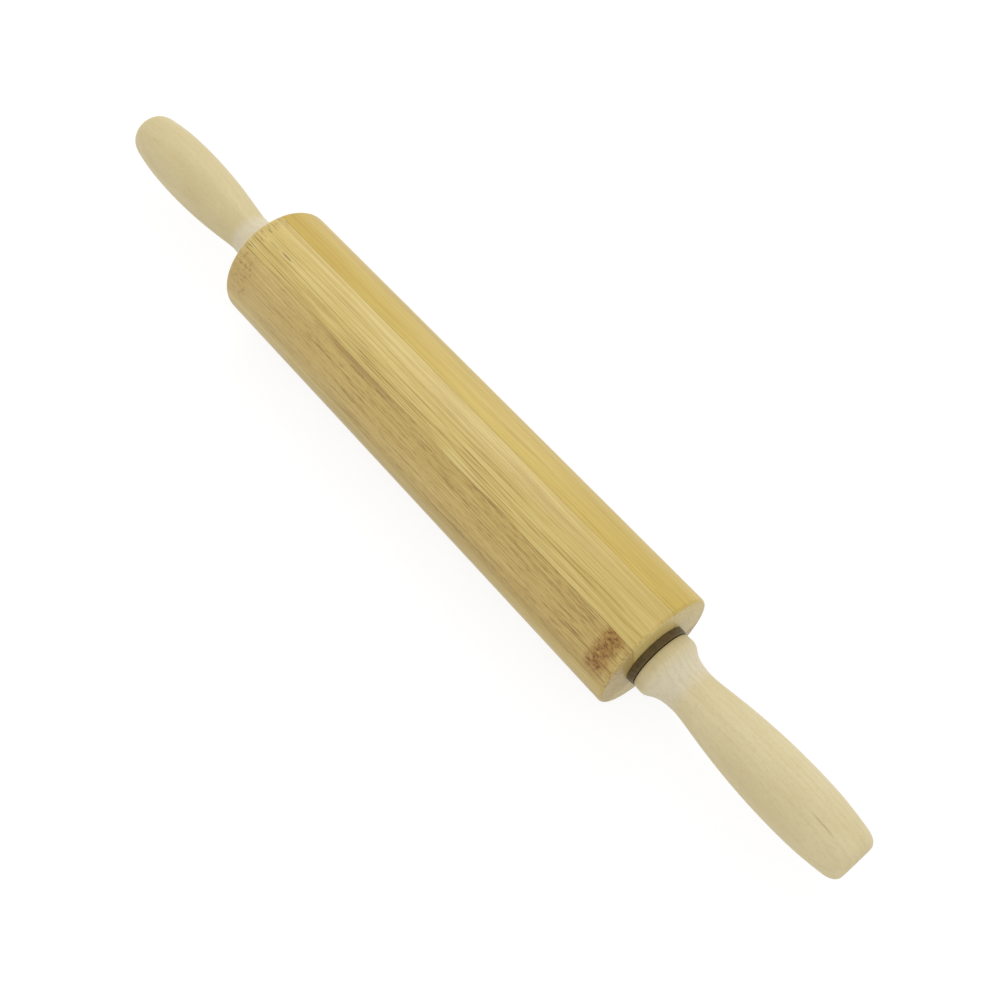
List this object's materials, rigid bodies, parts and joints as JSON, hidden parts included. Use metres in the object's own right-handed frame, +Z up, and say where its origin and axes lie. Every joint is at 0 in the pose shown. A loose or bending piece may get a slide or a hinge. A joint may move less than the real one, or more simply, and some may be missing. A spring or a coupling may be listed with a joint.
{
  "type": "rolling pin",
  "caption": "Revolving rolling pin: a glued bamboo barrel that spins on bushings and a steel axle between two turned wooden handles.",
  "frame": {"origin": "under the middle of the barrel, on the surface that the barrel rests on", "axes": "+X along the pin towards its right handle, +Z up, -Y towards the front"},
  "size_m": [0.4102, 0.05, 0.05],
  "materials": {
    "bamboo_pale": "turned and sanded bamboo, pale strip with fine lines",
    "bamboo_golden": "turned and sanded bamboo, smooth golden strip",
    "bamboo_tan": "turned and sanded bamboo, tan strip with dark flecks",
    "handle_wood": "turned and sanded pale wood, unvarnished",
    "bushing_nylon": "dark brown moulded nylon",
    "axle_steel": "bright drawn steel rod"
  },
  "bodies": {
    "handles": {"axle": "axle_steel", "handle_left": "handle_wood", "handle_right": "handle_wood"},
    "barrel": {"strip_core": "bamboo_pale", "strip_top": "bamboo_pale", "strip_top_back": "bamboo_golden", "strip_back": "bamboo_pale", "strip_bottom_back": "bamboo_tan", "strip_bottom": "bamboo_golden", "strip_bottom_front": "bamboo_pale", "strip_front": "bamboo_golden", "strip_top_front": "bamboo_tan", "bushing_left": "bushing_nylon", "bushing_right": "bushing_nylon"}
  },
  "joints": [
    {"name": "barrel_spin", "type": "hinge", "parent": "handles", "child": "barrel", "pos_m": [0, 0, 0.025], "axis": [1, 0, 0], "continuous": true}
  ]
}
